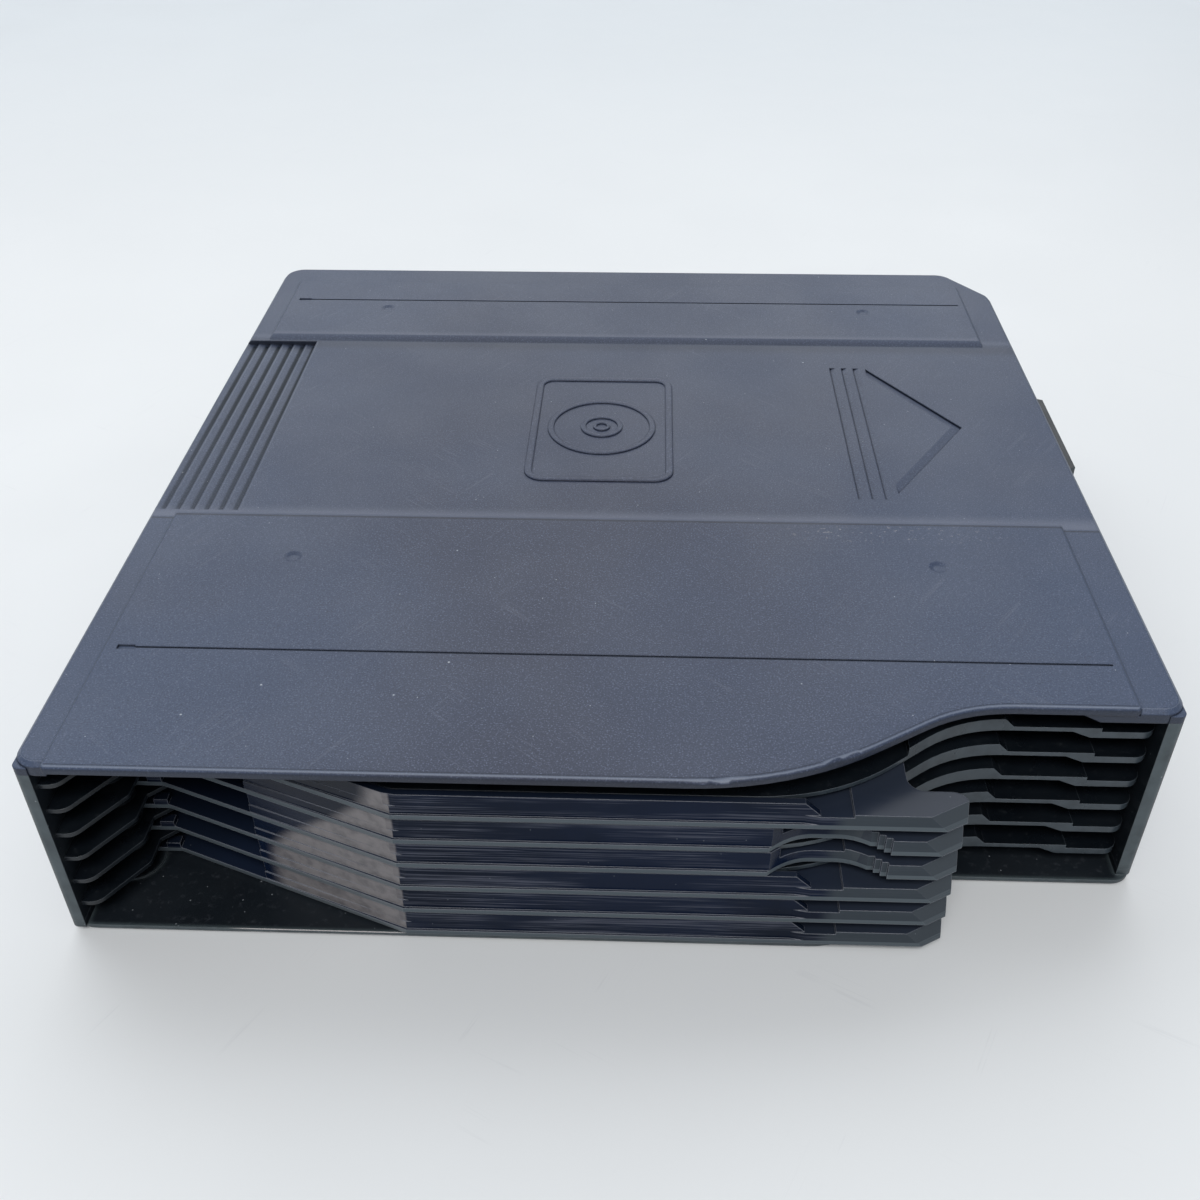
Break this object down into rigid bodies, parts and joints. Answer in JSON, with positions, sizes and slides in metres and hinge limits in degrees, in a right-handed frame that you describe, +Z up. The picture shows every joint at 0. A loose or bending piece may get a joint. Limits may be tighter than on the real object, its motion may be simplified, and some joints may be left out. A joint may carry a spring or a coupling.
{
  "type": "disc magazine",
  "caption": "Flat open-fronted magazine for a car disc changer, with trays that swing out on one corner shaft.",
  "frame": {"origin": "centre of the footprint, on the underside of the lower cover", "axes": "+Z up out of the flat top cover, +X the way the magazine slides into the changer, -Y the open front that the trays swing out of"},
  "size_m": [0.1498, 0.1528, 0.033],
  "materials": {
    "case_plastic": "matte",
    "inner_plastic": "satin",
    "tray_plastic": "satin",
    "steel": "satin",
    "spring_steel": "satin",
    "zinc_steel": "satin"
  },
  "bodies": {
    "case": {"upper_cover": "case_plastic", "lower_cover": "case_plastic", "left_wall": "case_plastic", "rear_wall": "case_plastic", "right_wall": "case_plastic", "separator_1": "inner_plastic", "separator_2": "inner_plastic", "separator_3": "inner_plastic", "separator_4": "inner_plastic", "separator_5": "inner_plastic", "separator_6": "inner_plastic", "hinge_shaft": "steel", "retaining_spring": "spring_steel", "cover_screws": "zinc_steel"},
    "tray_1": {"tray_1": "tray_plastic"},
    "tray_2": {"tray_2": "tray_plastic"},
    "tray_3": {"tray_3": "tray_plastic"},
    "tray_4": {"tray_4": "tray_plastic"},
    "tray_5": {"tray_5": "tray_plastic"},
    "tray_6": {"tray_6": "tray_plastic"}
  },
  "joints": [
    {"name": "tray_1_hinge", "type": "hinge", "parent": "case", "child": "tray_1", "pos_m": [-0.0699, -0.06265, 0.0254], "axis": [0, 0, -1], "range_deg": [0, 90]},
    {"name": "tray_2_hinge", "type": "hinge", "parent": "case", "child": "tray_2", "pos_m": [-0.0699, -0.06265, 0.0209], "axis": [0, 0, -1], "range_deg": [0, 90]},
    {"name": "tray_3_hinge", "type": "hinge", "parent": "case", "child": "tray_3", "pos_m": [-0.0699, -0.06265, 0.0164], "axis": [0, 0, -1], "range_deg": [0, 90]},
    {"name": "tray_4_hinge", "type": "hinge", "parent": "case", "child": "tray_4", "pos_m": [-0.0699, -0.06265, 0.0119], "axis": [0, 0, -1], "range_deg": [0, 90]},
    {"name": "tray_5_hinge", "type": "hinge", "parent": "case", "child": "tray_5", "pos_m": [-0.0699, -0.06265, 0.0074], "axis": [0, 0, -1], "range_deg": [0, 90]},
    {"name": "tray_6_hinge", "type": "hinge", "parent": "case", "child": "tray_6", "pos_m": [-0.0699, -0.06265, 0.0029], "axis": [0, 0, -1], "range_deg": [0, 90]}
  ]
}
